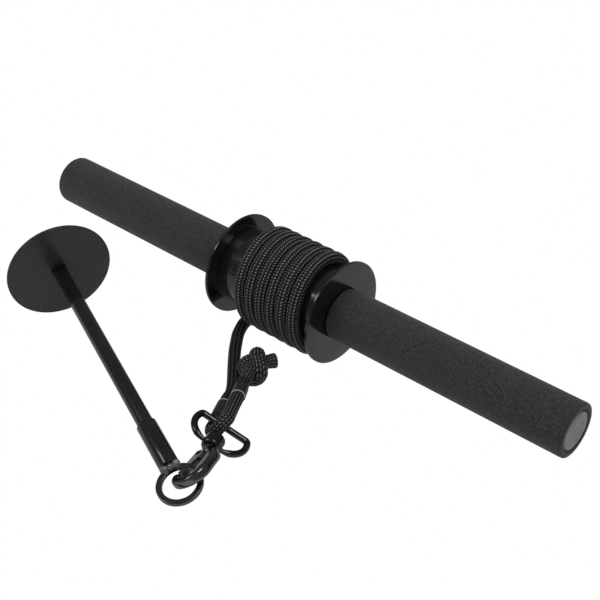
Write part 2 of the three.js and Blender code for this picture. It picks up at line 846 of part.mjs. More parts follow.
eyeGroup.add(piece("swivel_eye", swivelEye(), "blackPlate"));
hookGroup.add(
  piece("hook_body", hookBody(), "blackPlate"),
  piece("stud_washer", studWasher(), "bareSteel"),
  piece("gate", gate(), "gateSteel"),
  piece("gate_rivet", gateRivet(), "gateSteel"),
  piece("gate_spring", gateSpring(), "bareSteel"),
);
const pinFloor = underFloor(pinGroup);
pinGroup.add(
  piece("ring", ring(), "blackPaint"),
  piece("ring_weld", ringWeld(), "blackPaint"),
  piece("sleeve", pinSleeve(), "blackPaint"),
  piece("rod", rod(), "blackPaint"),
  piece("disc", cut(disc(), pinFloor), "satinPlate"),
  piece("disc_screw", discScrew(), "bareSteel"),
);

const body = new THREE.Group();
body.add(rollerGroup, ropeGroup, eyeGroup, hookGroup, pinGroup);

// The origin is the middle of the box round everything but the rope, on the floor
const onRope = ["rope_winding", "rope_stopper", "rope_lead", "rope_bight", "rope_tail", "rope_knot"];
const bands = ["band_standing", "band_tail"];
body.updateMatrixWorld(true);
const box = new THREE.Box3();
body.traverse((item) => {
  if (item.isMesh && !onRope.includes(item.name) && !bands.includes(item.name)) {
    box.expandByObject(item, true);
  }
});
const middle = box.getCenter(new THREE.Vector3());
body.position.set(-middle.x, -middle.y, -box.min.z);

const root = new THREE.Group();
root.add(body);
root.updateMatrixWorld(true);

// Joint places and axes in the finished frame, in metres
const tell = (name, group, point) => {
  const p = point.clone().applyMatrix4(group.matrixWorld).multiplyScalar(1 / 1000);
  console.log(`${name} ${p.toArray().map((v) => v.toFixed(5)).join(" ")}`);
};
const tellAxis = (name, group, axis) => {
  const v = axis.clone().transformDirection(group.matrixWorld);
  console.log(`${name} ${v.toArray().map((c) => c.toFixed(5)).join(" ")}`);
};
const unitX = new THREE.Vector3(1, 0, 0);
const unitY = new THREE.Vector3(0, 1, 0);
const unitZ = new THREE.Vector3(0, 0, 1);
const zero = new THREE.Vector3();
tell("spool_turn at", rollerGroup, zero);
tell("eye_swing at", eyeGroup, zero);
tellAxis("eye_swing axis", eyeGroup, unitX);
tell("hook_swivel at", hookGroup, zero);
tellAxis("hook_swivel axis", hookGroup, unitY);
tell("gate at", hookGroup, new THREE.Vector3(rivetX, rivetY, 0));
tellAxis("gate axis", hookGroup, unitZ);
tell("pin_link at", pinGroup, zero);
tellAxis("pin_link axis", pinGroup, unitZ);
tell("disc face at", pinGroup, new THREE.Vector3(-pinLength, 0, 0));
tellAxis("disc face axis", pinGroup, unitX);
tell("plug face at", rollerGroup, new THREE.Vector3(halfBar, 0, 0));

export default root;
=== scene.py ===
import json
import math
import bmesh
import bpy
import numpy as np
from mathutils import Matrix, Vector


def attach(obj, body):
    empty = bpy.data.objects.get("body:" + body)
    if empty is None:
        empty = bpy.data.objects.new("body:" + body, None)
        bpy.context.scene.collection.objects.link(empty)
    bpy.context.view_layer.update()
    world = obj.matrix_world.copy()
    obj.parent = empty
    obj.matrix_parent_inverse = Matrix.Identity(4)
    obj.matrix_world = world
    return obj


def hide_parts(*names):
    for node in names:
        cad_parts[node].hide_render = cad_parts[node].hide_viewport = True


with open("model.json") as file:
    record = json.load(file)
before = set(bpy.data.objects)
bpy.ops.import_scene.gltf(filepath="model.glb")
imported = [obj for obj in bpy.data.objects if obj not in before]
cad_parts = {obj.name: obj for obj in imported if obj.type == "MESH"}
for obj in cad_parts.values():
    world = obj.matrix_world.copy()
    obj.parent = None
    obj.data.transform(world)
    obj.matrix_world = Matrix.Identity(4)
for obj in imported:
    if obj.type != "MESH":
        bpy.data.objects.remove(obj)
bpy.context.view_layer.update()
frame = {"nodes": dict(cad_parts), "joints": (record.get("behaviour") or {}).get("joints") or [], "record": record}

# Lengths are in metres. X runs along the bar, Z is up and the floor is Z = 0.
joints = {joint["name"]: joint for joint in frame["joints"]}
jointPlace = {name: np.array(joint["pos_m"]) for name, joint in joints.items()}
jointAxis = {name: np.array(joint["axis"]) for name, joint in joints.items()}
barPlace = jointPlace["spool_turn"]
mount = frame["record"]["mounts"][0]
gap = 0.0003  # between pieces that touch
tiny = 1e-6

# Camera of the photograph: its place and its own right, up and back directions
camera = {
    "place": (0.434256, -0.524670 + barPlace[1], 0.449811),
    "right": (0.753220, 0.655394, 0.055843),
    "up": (-0.383347, 0.368402, 0.846950),
    "back": (0.534514, -0.659347, 0.528731),
    "lens": 72.19,
    "sensor": 36.0,
}


def makeCamera():
    data = bpy.data.cameras.new("viewCamera")
    data.lens = camera["lens"]
    data.sensor_width = camera["sensor"]
    data.clip_start = 0.01
    made = bpy.data.objects.new("viewCamera", data)
    axes = Matrix([camera["right"], camera["up"], camera["back"]]).transposed().to_4x4()
    made.matrix_world = Matrix.Translation(camera["place"]) @ axes
    bpy.context.scene.collection.objects.link(made)
    bpy.context.scene.camera = made


# Vectors and places
def unit(v):
    v = np.asarray(v, float)
    return v / np.linalg.norm(v)


def directions(line):
    ways = np.gradient(line, axis=0)
    return ways / np.linalg.norm(ways, axis=1)[:, None]


def axesMatrix(place, x, y):
    z = np.cross(x, y)
    made = np.eye(4)
    made[:3, 0], made[:3, 1], made[:3, 2], made[:3, 3] = x, y, z, place
    return made


def apply(matrix, points):
    return np.asarray(points) @ matrix[:3, :3].T + matrix[:3, 3]


# Local axes of the roller, strap eye, hook and pin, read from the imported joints
eyeAxis = unit(jointAxis["eye_swing"])
swivelAxis = unit(jointAxis["hook_swivel"])
hookNormal = -unit(jointAxis["gate_open"])
hookSide = unit(np.cross(swivelAxis, hookNormal))
pinNormal = unit(jointAxis["pin_link"])
pinAhead = unit(mount["axis"])
places = {
    "roller": axesMatrix(barPlace, (1, 0, 0), (0, 1, 0)),
    "eye": axesMatrix(jointPlace["eye_swing"], eyeAxis, swivelAxis),
    "hook": axesMatrix(jointPlace["hook_swivel"], hookSide, swivelAxis),
    "pin": axesMatrix(jointPlace["pin_link"], pinAhead, unit(np.cross(pinNormal, pinAhead))),
}


# Meshes
def linked(name, mesh):
    made = bpy.data.objects.new(name, mesh)
    bpy.context.scene.collection.objects.link(made)
    return made


def meshPiece(name, points, faces, smooth=True):
    mesh = bpy.data.meshes.new(name)
    mesh.from_pydata([tuple(p) for p in points], [], [tuple(f) for f in faces])
    mesh.update()
    if smooth:
        mesh.polygons.foreach_set("use_smooth", [True] * len(mesh.polygons))
    return linked(name, mesh)


def fixNormals(made):
    work = bmesh.new()
    work.from_mesh(made.data)
    bmesh.ops.recalc_face_normals(work, faces=work.faces)
    work.to_mesh(made.data)
    work.free()


def gridFaces(rows, columns, closedRows=False):
    i, k = np.meshgrid(np.arange(rows if closedRows else rows - 1), np.arange(columns), indexing="ij")
    nextRow = (i + 1) % rows
    nextColumn = (k + 1) % columns
    corners = [
        i * columns + k, i * columns + nextColumn, nextRow * columns + nextColumn, nextRow * columns + k,
    ]
    return np.stack(corners, axis=-1).reshape(-1, 4)


def endCaps(rows, columns):
    return [list(range(columns))[::-1], list(range((rows - 1) * columns, rows * columns))]


def ringPoints(line, across, over, sideways, upwards):
    rings = line[:, None, :] + sideways[..., None] * across[:, None, :]
    rings = rings + upwards[..., None] * over[:, None, :]
    return rings.reshape(-1, 3)


# A closed mesh of rings, made at once because a length of rope has so many faces
def quickMesh(name, points, rows, columns, attributes=None):
    mesh = bpy.data.meshes.new(name)
    quads = gridFaces(rows, columns)
    caps = endCaps(rows, columns)
    loops = np.concatenate([quads.reshape(-1)] + [np.array(c) for c in caps]).astype(np.int32)
    totals = [4] * len(quads) + [len(c) for c in caps]
    starts = np.concatenate([[0], np.cumsum(totals)[:-1]]).astype(np.int32)
    mesh.vertices.add(len(points))
    mesh.vertices.foreach_set("co", points.astype(np.float32).reshape(-1))
    mesh.loops.add(len(loops))
    mesh.loops.foreach_set("vertex_index", loops)
    mesh.polygons.add(len(starts))
    mesh.polygons.foreach_set("loop_start", starts)
    mesh.polygons.foreach_set("loop_total", totals)
    mesh.polygons.foreach_set("use_smooth", [True] * len(starts))
    for key, values in (attributes or {}).items():
        made = mesh.attributes.new(key, "FLOAT", "POINT")
        made.data.foreach_set("value", values.astype(np.float32).reshape(-1))
    mesh.update(calc_edges=True)
    mesh.validate()
    return linked(name, mesh)


# Rounds the corners of a lathe profile, whose points are places along the axis and radii
def rounded(profile, radius):
    out = []
    count = len(profile)
    for i, corner in enumerate(profile):
        corner = np.array(corner, float)
        toBefore = np.array(profile[i - 1], float) - corner
        toAfter = np.array(profile[(i + 1) % count], float) - corner
        lengths = np.linalg.norm(toBefore), np.linalg.norm(toAfter)
        reach = min(radius, lengths[0] * 0.45, lengths[1] * 0.45)
        endOnAxis = i in (0, count - 1) and abs(corner[1]) < tiny
        if endOnAxis or reach < tiny:
            out.append(corner)
            continue
        a = corner + toBefore / lengths[0] * reach
        b = corner + toAfter / lengths[1] * reach
        for t in np.linspace(0, 1, 5):
            out.append((1 - t) ** 2 * a + 2 * t * (1 - t) * corner + t ** 2 * b)
    return out


def lathe(name, profile, place, segments=128, edge=0.0003, turnAxis="x"):
    line = np.array(rounded(profile, edge))
    onAxis = np.abs(line[:, 1]) < tiny
    closed = not (onAxis[0] and onAxis[-1])
    angles = np.linspace(0, 2 * math.pi, segments, endpoint=False)
    rings = line[~onAxis]
    ring = np.stack([
        np.repeat(rings[:, 0:1], segments, axis=1),
        rings[:, 1:2] * np.cos(angles),
        rings[:, 1:2] * np.sin(angles),
    ], axis=-1)
    if turnAxis == "y":
        ring = ring[..., [1, 0, 2]] * np.array([-1, 1, 1])
    if turnAxis == "z":
        ring = ring[..., [1, 2, 0]]
    faces = [list(f) for f in gridFaces(len(rings), segments, closedRows=closed)]
    if not closed:
        faces += endCaps(len(rings), segments)
    made = meshPiece(name, apply(places[place], ring.reshape(-1, 3)), faces)
    fixNormals(made)
    return made


# Lines of points
def resample(line, step):
    lengths = np.concatenate([[0], np.cumsum(np.linalg.norm(np.diff(line, axis=0), axis=1))])
    count = max(2, int(round(lengths[-1] / step)) + 1)
    wanted = np.linspace(0, lengths[-1], count)
    return np.stack([np.interp(wanted, lengths, line[:, i]) for i in range(3)], axis=1)


def catmull(points, step, spanSteps=48):
    p = np.asarray(points, float)
    p = np.vstack([2 * p[0] - p[1], p, 2 * p[-1] - p[-2]])
    dense = []
    for i in range(1, len(p) - 2):
        p0, p1, p2, p3 = p[i - 1], p[i], p[i + 1], p[i + 2]
        d0, d1, d2 = (max(np.linalg.norm(b - a) ** 0.5, 1e-9) for a, b in ((p0, p1), (p1, p2), (p2, p3)))
        t1 = ((p1 - p0) / d0 - (p2 - p0) / (d0 + d1) + (p2 - p1) / d1) * d1
        t2 = ((p2 - p1) / d1 - (p3 - p1) / (d1 + d2) + (p3 - p2) / d2) * d1
        t = np.linspace(0, 1, spanSteps, endpoint=i == len(p) - 3)[:, None]
        h = 2 * t ** 3 - 3 * t ** 2 + 1, t ** 3 - 2 * t ** 2 + t, -2 * t ** 3 + 3 * t ** 2, t ** 3 - t ** 2
        dense.append(h[0] * p1 + h[1] * t1 + h[2] * p2 + h[3] * t2)
    return resample(np.vstack(dense), step)


# Two directions square to a line, carried along it without twist
def transport(line):
    ways = directions(line)
    across = np.empty_like(line)
    across[0] = unit(np.array((0.0, 0.0, 1.0)) - ways[0][2] * ways[0])
    for i in range(1, len(line)):
        across[i] = unit(across[i - 1] - np.dot(across[i - 1], ways[i]) * ways[i])
    return across, np.cross(ways, across)


# Nodes, for the materials and for the tube that follows a path
def node(tree, kind, **values):
    made = tree.nodes.new(kind)
    for key, value in values.items():
        if key in made.inputs:
            made.inputs[key].default_value = value
        else:
            setattr(made, key, value)
    return made


# A round tube along a line of points, as thick at each point as its tubeRadius says
def pathTubeTree():
    tree = bpy.data.node_groups.new("pathTube", "GeometryNodeTree")
    for label, kind in (("Geometry", "Geometry"), ("Sides", "Int"), ("Finish", "Material")):
        tree.interface.new_socket(label, in_out="INPUT", socket_type="NodeSocket" + kind)
    tree.interface.new_socket("Geometry", in_out="OUTPUT", socket_type="NodeSocketGeometry")
    given, result = node(tree, "NodeGroupInput"), node(tree, "NodeGroupOutput")
    path = node(tree, "GeometryNodeMeshToCurve")
    radius = node(tree, "GeometryNodeInputNamedAttribute", data_type="FLOAT", Name="tubeRadius")
    circle = node(tree, "GeometryNodeCurvePrimitiveCircle", Radius=1.0)
    tube = node(tree, "GeometryNodeCurveToMesh")
    tube.inputs["Fill Caps"].default_value = True
    real, finish = node(tree, "GeometryNodeRealizeInstances"), node(tree, "GeometryNodeSetMaterial")
    for source, target in (
        (given.outputs["Geometry"], path.inputs["Mesh"]),
        (given.outputs["Sides"], circle.inputs["Resolution"]),
        (path.outputs["Curve"], tube.inputs["Curve"]),
        (circle.outputs["Curve"], tube.inputs["Profile Curve"]),
        (radius.outputs["Attribute"], tube.inputs["Scale"]),
        (tube.outputs["Mesh"], real.inputs["Geometry"]),
        (real.outputs["Geometry"], finish.inputs["Geometry"]),
        (given.outputs["Finish"], finish.inputs["Material"]),
        (finish.outputs["Geometry"], result.inputs["Geometry"]),
    ):
        tree.links.new(source, target)
    return tree


def pathTube(name, line, radii, rim, sides, finish):
    path = bpy.data.meshes.new(name + "Path")
    path.from_pydata(line.tolist(), [(i, i + 1) for i in range(len(line) - 1)], [])
    # rim is the share of pale colour, a painted highlight, that the band material gives each point.
    for key, values in (("tubeRadius", radii), ("rim", rim)):
        made = path.attributes.new(key, "FLOAT", "POINT")
        made.data.foreach_set("value", np.broadcast_to(values, len(line)).astype(np.float32))
    made = linked(name, path)
    follow = made.modifiers.new("tube", "NODES")
    follow.node_group = tubeTree
    sockets = {s.name: s.identifier for s in tubeTree.interface.items_tree if s.in_out == "INPUT"}
    follow[sockets["Sides"]] = sides
    follow[sockets["Finish"]] = materials[finish]
    done = made.evaluated_get(bpy.context.evaluated_depsgraph_get())
    made.data = bpy.data.meshes.new_from_object(done)
    made.modifiers.clear()
    bpy.data.meshes.remove(path)
    for key in ("sharp_edge", "sharp_face"):  # the ends are shaded with the sides
        made.data.attributes.remove(made.data.attributes[key])
    return made


# Rope route, from inside the drum, round the spool, along the floor, round the eye and into the knot
rope = {
    "radius": 0.004, "full": 0.0043, "thick": 0.0045, "sides": 72, "step": 0.00038, "relief": 0.0008,
    "windRadius": 0.0306, "insideRadius": 0.0186, "pitch": 0.0091, "firstTurn": -0.0185, "sway": 0.0011,
    "swayAngle": 50, "from": -180, "to": 2010, "turnIn": 90, "inside": 15, "angleStep": 3,
}
floorShift = np.array([0, barPlace[1], 0])
ropeRest = 0.00415
bandRest = 0.0049
leadPoints = [
    (-0.0239, -0.0155, 0.0043), (-0.0223, -0.0208, ropeRest), (-0.0199, -0.0258, ropeRest),
    (-0.0169, -0.0311, ropeRest), (-0.0113, -0.0387, ropeRest), (-0.0054, -0.0462, ropeRest),
    (0.0006, -0.0532, ropeRest), (0.0075, -0.0609, ropeRest), (0.0140, -0.0680, ropeRest),
    (0.0209, -0.0757, ropeRest), (0.0257, -0.0821, 0.0044), (0.0290, -0.0897, 0.0048),
]
standingBand = [(0.0308, -0.0933, bandRest), (0.0374, -0.1063, bandRest)]
underBar = (0.0397, -0.1095, 0.0048)
overBar = (0.0479, -0.1078, 0.0134)
tailPoints = [(0.0432, -0.0999, 0.0120), (0.0394, -0.0931, 0.0112)]
tailBand = [(0.0367, -0.0880, 0.0108), (0.0322, -0.0806, 0.0105)]
knotEntry = (0.0282, -0.0733, 0.0100)
wrap = {"radius": 0.0064, "start": -0.0065, "shift": 0.0049, "bulge": 0.0008, "angles": range(0, 181, 30)}

# Overhand knot and its cut stub, before the rope settles against itself
knotPoints = [
    (0.0276, -0.0715, 0.0102), (0.0244, -0.0651, 0.0096), (0.0212, -0.0587, 0.0086), (0.0190, -0.0550, 0.0074),
    (0.0176, -0.0521, 0.0074), (0.0181, -0.0519, 0.0095), (0.0205, -0.0542, 0.0119), (0.0235, -0.0563, 0.0140),
    (0.0275, -0.0592, 0.0136), (0.0297, -0.0603, 0.0118), (0.0293, -0.0601, 0.0088), (0.0274, -0.0601, 0.0060),
    (0.0249, -0.0611, 0.0046), (0.0226, -0.0624, 0.0046), (0.0193, -0.0616, 0.0048), (0.0174, -0.0605, 0.0062),
    (0.0166, -0.0590, 0.0084), (0.0170, -0.0568, 0.0098), (0.0184, -0.0541, 0.0099), (0.0206, -0.0512, 0.0096),
    (0.0227, -0.0473, 0.0092), (0.0245, -0.0440, 0.0092), (0.0264, -0.0404, 0.0092),
]
knot = {
    "rope": 0.0051, "stub": 0.0046, "flare": 0.0006, "flareLength": 0.005, "cutEdge": 0.0004,
    "floor": 0.0052, "apart": 0.0066, "step": 0.0012, "rounds": 600, "neighbours": 6,
    "hold": 0.06, "straighten": 0.18, "push": 0.5, "holdEnds": 0.3,
}


def woundPoint(angle):
    rest = rope["swayAngle"]
    t = np.clip((angle - rope["to"]) / rope["turnIn"], 0, 1)
    inwards = t * t * (3 - 2 * t)
    radius = rope["windRadius"] * (1 - inwards) + rope["insideRadius"] * inwards
    turn = np.radians(angle)
    sway = rope["sway"] * np.sin(np.radians(angle - rest))
    along = rope["firstTurn"] + rope["pitch"] * (angle - rest) / 360 + sway
    return np.stack([along, -radius * np.sin(turn), radius * np.cos(turn)], axis=-1) + barPlace


def wrapPoint(angle):
    turn = math.radians(angle)
    up = np.cross(swivelAxis, eyeAxis)
    along = wrap["start"] + wrap["shift"] * angle / 180 + wrap["bulge"] * math.sin(turn)
    around = swivelAxis * math.sin(turn) - up * math.cos(turn)
    return jointPlace["eye_swing"] + eyeAxis * along + around * wrap["radius"]


# Lets a line of rope settle: it stays near its points, bends gently and keeps clear of itself and the floor
def settle(line):
    wanted = line.copy()
    order = np.arange(len(line))
    notNeighbours = np.abs(np.subtract.outer(order, order)) > knot["neighbours"]
    for _ in range(knot["rounds"]):
        push = knot["hold"] * (wanted - line)
        push[1:-1] += knot["straighten"] * ((line[:-2] + line[2:]) / 2 - line[1:-1])
        away = line[:, None] - line[None, :]
        distance = np.linalg.norm(away, axis=2) + 1e-9
        close = (distance < knot["apart"]) & notNeighbours
        strength = np.where(close, (knot["apart"] - distance) * knot["push"], 0) / distance
        push += (away * strength[..., None]).sum(axis=1) / np.maximum(1, close.sum(axis=1))[:, None]
        push[:, 2] += np.maximum(0, knot["floor"] - line[:, 2]) * knot["push"]
        push[:3] = knot["holdEnds"] * (wanted[:3] - line[:3])
        push[-4:] = knot["holdEnds"] * (wanted[-4:] - line[-4:])
        line = line + push
    return line


lastAngle = rope["to"] + rope["turnIn"] + rope["inside"]
windingLine = woundPoint(np.arange(lastAngle, rope["from"] - 1, -float(rope["angleStep"])))
leaving = windingLine[-1] + np.array((0, -2 * rope["radius"], 0))
inFloor = [np.array(p) + floorShift for p in leadPoints + standingBand + [underBar]]
overFloor = [np.array(p) + floorShift for p in [overBar] + tailPoints + tailBand]
knotLine = settle(catmull([np.array(p) + floorShift for p in [knotEntry] + knotPoints], knot["step"]))
roundBar = [wrapPoint(a) for a in wrap["angles"]]
freeLine = catmull([leaving] + inFloor + roundBar + overFloor + list(knotLine[::2]), rope["step"])
wholeLine = resample(np.vstack([windingLine, freeLine]), rope["step"])
ropeAcross, ropeOver = transport(wholeLine)


def nearest(point):
    return int(np.argmin(np.linalg.norm(wholeLine - np.asarray(point), axis=1)))


marks = {
    "start": 0,
    "third": nearest(woundPoint(np.array(1300.0))),
    "twoThirds": nearest(woundPoint(np.array(560.0))),
    "leave": nearest(leaving),
    "underBar": nearest(np.array(underBar) + floorShift),
    "overBar": nearest(np.array(overBar) + floorShift),
    "knotStart": nearest(np.array(knotEntry) + floorShift),
    "end": len(wholeLine) - 1,
}

# The braid: columns of stitches that lean to each side in turn. Drawn rope is pulled smooth. The braid's height
# also colours the rope, as painted shade in the grooves and painted highlight on the stitch tops.
weaves = {
    "coarse": {"columns": 10, "stitch": 0.0019, "lean": 0.8, "fullness": 0.8, "light": 1.0},
    "fine": {"columns": 14, "stitch": 0.0016, "lean": 0.9, "fullness": 0.5, "light": 0.965},
}
strand = {"edge": 0.04, "ridge": 0.6, "valley": 0.12, "drawnRelief": 0.6, "drawnLight": 0.35}


def braid(along, turns, drawn=0.0, weave="coarse"):
    weave = weaves[weave]
    columns = turns * weave["columns"]
    column = np.floor(columns)
    place = columns - column
    lean = np.where(column % 2 == 0, 1.0, -1.0)
    stitch = (along / weave["stitch"] + lean * weave["lean"] * (place - 0.5) + 0.5 * (column // 2 % 2)) % 1.0
    bulge = np.sin(math.pi * stitch) ** weave["fullness"]
    ridge = np.sin(math.pi * (strand["edge"] + (1 - 2 * strand["edge"]) * place)) ** strand["ridge"]
    return ridge * (drawn + (1 - drawn) * (strand["valley"] + (1 - strand["valley"]) * bulge))


def ropeLength(name, first, last, radius, drawn=(0, 0), weave="coarse", flared=False):
    part = slice(marks[first], marks[last] + 1)
    line = wholeLine[part]
    count, sides = len(line), rope["sides"]
    along = (np.arange(marks[first], marks[last] + 1) * rope["step"])[:, None]
    turns = np.linspace(0, 1, sides, endpoint=False)[None, :]
    drawn = np.linspace(*drawn, count)[:, None]
    height = braid(along, turns, drawn, weave)
    size = np.interp(np.linspace(0, 1, count), np.linspace(0, 1, len(radius)), radius)[:, None]
    if flared:
        left = np.arange(count)[::-1] * rope["step"]
        size[:, 0] += knot["flare"] * np.clip(1 - left / knot["flareLength"], 0, 1)
        size[-2:, 0] -= knot["cutEdge"]
    radii = size - rope["relief"] * (1 - strand["drawnRelief"] * drawn) * (1 - height)
    angles = 2 * math.pi * turns
    sideways, upwards = radii * np.cos(angles), radii * np.sin(angles)
    points = ringPoints(line, ropeAcross[part], ropeOver[part], sideways, upwards)
    # raised carries the painted shade and painted highlight of the braid; drawnLight and the weave's light weaken
    # the painted highlight.
    raised = height * (1 - strand["drawnLight"] * drawn) * weaves[weave]["light"]
    return quickMesh(name, points, count, sides, {"raised": raised})


stopper = {"radius": 0.0052, "relief": 0.0004, "rows": 60, "columns": 80, "pole": 0.03}


def stopperBall():
    rows, columns = stopper["rows"], stopper["columns"]
    solid = frame["nodes"]["rope_stopper"]
    centre = [sum(corner[i] for corner in solid.bound_box) / 8 for i in range(3)]
    rise = np.linspace(stopper["pole"], math.pi - stopper["pole"], rows)[:, None]
    turns = np.linspace(0, 1, columns, endpoint=False)[None, :]
    height = braid(rise * stopper["radius"], turns)
    size = stopper["radius"] - stopper["relief"] * (1 - height)
    around = 2 * math.pi * turns
    sphere = [np.cos(rise) + 0 * around, np.sin(rise) * np.cos(around), np.sin(rise) * np.sin(around)]
    points = np.stack(sphere, axis=-1) * size[..., None] + np.array(solid.matrix_world @ Vector(centre))
    # raised gives the ball the same painted shade in its grooves and painted highlight on its stitches.
    return quickMesh("ropeStopper", points.reshape(-1, 3), rows, columns, {"raised": height})


# Shrink bands, each with a raised edge at both ends and, at one end, a pale rim that is a painted highlight
bands = {
    "Standing": {"ends": standingBand, "length": 0.014, "radius": 0.0043, "pale": 0.0009},
    "Tail": {"ends": tailBand, "length": 0.009, "radius": 0.0047, "pale": 0.00028},
}
bandEdge = {"height": 0.0001, "width": 0.0009, "chamfer": 0.00022, "chamferFrom": 0.985, "sides": 64}


def bandPiece(which):
    band = bands[which]
    ends = np.array(band["ends"]) + floorShift
    middle = nearest((ends[0] + ends[1]) / 2)
    half = int(round(band["length"] / 2 / rope["step"]))
    line = wholeLine[middle - half:middle + half + 1]
    t = np.linspace(-1, 1, len(line))
    fromEdge = (1 - np.abs(t)) * band["length"] / bandEdge["width"]
    radii = band["radius"] + bandEdge["height"] * np.exp(-fromEdge ** 2)
    radii -= bandEdge["chamfer"] * (np.abs(t) > bandEdge["chamferFrom"])
    # Mask of the pale rim: a painted highlight at one end of the band.
    rim = t < 2 * band["pale"] / band["length"] - 1
    return pathTube("band" + which, line, radii, rim, bandEdge["sides"], "band")


# Painted highlight: a pale thin tube that runs down the side of the returning rope, on the camera's left
edgeHighlight = {
    "radius": 0.00022, "proud": 0.0003, "sides": 10, "pale": 0.6, "every": 3,
    "side": (-0.753220, -0.655394, -0.055843),
}


def edgeHighlightLine():
    line = wholeLine[marks["overBar"]:nearest(np.array(tailBand[1]) + floorShift):edgeHighlight["every"]]
    ways = directions(line)
    side = np.array(edgeHighlight["side"])
    side = side - (ways @ side)[:, None] * ways
    side /= np.linalg.norm(side, axis=1)[:, None]
    out = np.linspace(rope["thick"], rope["thick"] + edgeHighlight["proud"], len(line))
    beside = line + side * out[:, None]
    # The pale value makes the whole thin tube a painted highlight in the band material.
    return pathTube("ropeEdgeHighlight", beside, edgeHighlight["radius"], edgeHighlight["pale"], edgeHighlight["sides"], "band")


# Materials
def newMaterial(name):
    made = bpy.data.materials.new(name)
    made.use_nodes = True
    tree = made.node_tree
    return made, tree, tree.nodes["Principled BSDF"]


def ramp(tree, source, stops):
    made = tree.nodes.new("ShaderNodeValToRGB")
    elements = made.color_ramp.elements
    while len(elements) < len(stops):
        elements.new(0.5)
    for element, (place, colour) in zip(elements, stops):
        element.position = place
        element.color = (*colour, 1) if hasattr(colour, "__len__") else (colour, colour, colour, 1)
    tree.links.new(source, made.inputs["Fac"])
    return made.outputs["Color"]


def noise(tree, coordinates, scale, detail=3, roughness=0.6):
    made = node(tree, "ShaderNodeTexNoise", Scale=scale, Detail=detail, Roughness=roughness)
    tree.links.new(coordinates, made.inputs["Vector"])
    return made.outputs["Fac"]


def bump(tree, shader, height, strength, distance, after=None):
    made = node(tree, "ShaderNodeBump", Strength=strength, Distance=distance)
    tree.links.new(height, made.inputs["Height"])
    if after is not None:
        tree.links.new(after, made.inputs["Normal"])
    tree.links.new(made.outputs["Normal"], shader.inputs["Normal"])
    return made.outputs["Normal"]


def objectPlace(tree):
    return tree.nodes.new("ShaderNodeTexCoord").outputs["Object"]


def attribute(tree, name):
    return node(tree, "ShaderNodeAttribute", attribute_name=name).outputs["Fac"]


def foamMaterial():
    made, tree, shader = newMaterial("gripFoam")
    place = objectPlace(tree)
    grain = noise(tree, place, 900, 5, 0.7)
    patches = noise(tree, place, 60, 3)
    colour = ramp(tree, grain, [(0.38, (0.0088, 0.0078, 0.0078)), (0.62, (0.040, 0.0365, 0.0365))])
    tree.links.new(colour, shader.inputs["Base Color"])
    tree.links.new(ramp(tree, patches, [(0.3, 0.72), (0.7, 0.86)]), shader.inputs["Roughness"])
    first = bump(tree, shader, grain, 0.6, 0.0004)
    bump(tree, shader, noise(tree, place, 260, 3), 0.2, 0.0006, first)
    shader.inputs["Sheen Weight"].default_value = 0.12
    shader.inputs["Sheen Roughness"].default_value = 0.5
    return made


def paintMaterial(name, dark, light, rough, coat, peel=0.02):
    made, tree, shader = newMaterial(name)
    place = objectPlace(tree)
    cloud = noise(tree, place, 35, 4)
    fine = noise(tree, place, 420, 3)
    tree.links.new(ramp(tree, cloud, [(0.35, dark), (0.7, light)]), shader.inputs["Base Color"])
    tree.links.new(ramp(tree, fine, [(0.3, rough * 0.85), (0.8, rough * 1.3)]), shader.inputs["Roughness"])
    bump(tree, shader, fine, peel, 0.0002)
    shader.inputs["Coat Weight"].default_value = coat
    shader.inputs["Coat Roughness"].default_value = 0.06
    return made


def metalMaterial(name, dark, light, rough, scratch=0.06, metal=1.0):
    made, tree, shader = newMaterial(name)
    place = objectPlace(tree)
    cloud = noise(tree, place, 120, 4)
    fine = noise(tree, place, 1500, 2)
    tree.links.new(ramp(tree, cloud, [(0.3, dark), (0.75, light)]), shader.inputs["Base Color"])
    tree.links.new(ramp(tree, cloud, [(0.3, rough * 0.8), (0.8, rough * 1.4)]), shader.inputs["Roughness"])
    bump(tree, shader, fine, scratch, 0.0001)
    shader.inputs["Metallic"].default_value = metal
    return made


def ropeMaterial():
    made, tree, shader = newMaterial("ropeBraid")
    fibre = noise(tree, objectPlace(tree), 2600, 3, 0.8)
    # Colour follows the braid's height: painted shade in the grooves between stitches and turns, painted highlight
    # on the stitch tops.
    colour = ramp(tree, attribute(tree, "raised"), [(0.45, 0.001), (0.72, 0.012), (0.9, 0.15), (1.0, 0.5)])
    mix = node(tree, "ShaderNodeMix", data_type="RGBA", blend_type="MULTIPLY")
    mix.inputs[0].default_value = 0.55
    tree.links.new(colour, mix.inputs[6])
    tree.links.new(ramp(tree, fibre, [(0.25, 0.45), (0.75, 1.0)]), mix.inputs[7])
    tree.links.new(mix.outputs[2], shader.inputs["Base Color"])
    bump(tree, shader, fibre, 0.3, 0.0002)
    shader.inputs["Roughness"].default_value = 0.62
    return made


def bandMaterial():
    made, tree, shader = newMaterial("shrinkBand")
    knit = noise(tree, objectPlace(tree), 700, 3)
    mix = node(tree, "ShaderNodeMix", data_type="RGBA")
    # The rim attribute mixes in the pale colour, a painted highlight; the rest of the band keeps its dark colour.
    tree.links.new(attribute(tree, "rim"), mix.inputs[0])
    tree.links.new(ramp(tree, knit, [(0.3, 0.010), (0.75, 0.022)]), mix.inputs[6])
    tree.links.new(ramp(tree, knit, [(0.3, 0.28), (0.75, 0.4)]), mix.inputs[7])
    tree.links.new(mix.outputs[2], shader.inputs["Base Color"])
    bump(tree, shader, knit, 0.25, 0.0003)
    shader.inputs["Roughness"].default_value = 0.42
    return made


def plugMaterial():
    made, tree, shader = newMaterial("plugPlastic")
    place = objectPlace(tree)
    cloud = noise(tree, place, 140, 4)
    tree.links.new(ramp(tree, cloud, [(0.3, 0.15), (0.75, 0.24)]), shader.inputs["Base Color"])
    bump(tree, shader, noise(tree, place, 900, 2), 0.15, 0.0002)
    shader.inputs["Roughness"].default_value = 0.4
    return made


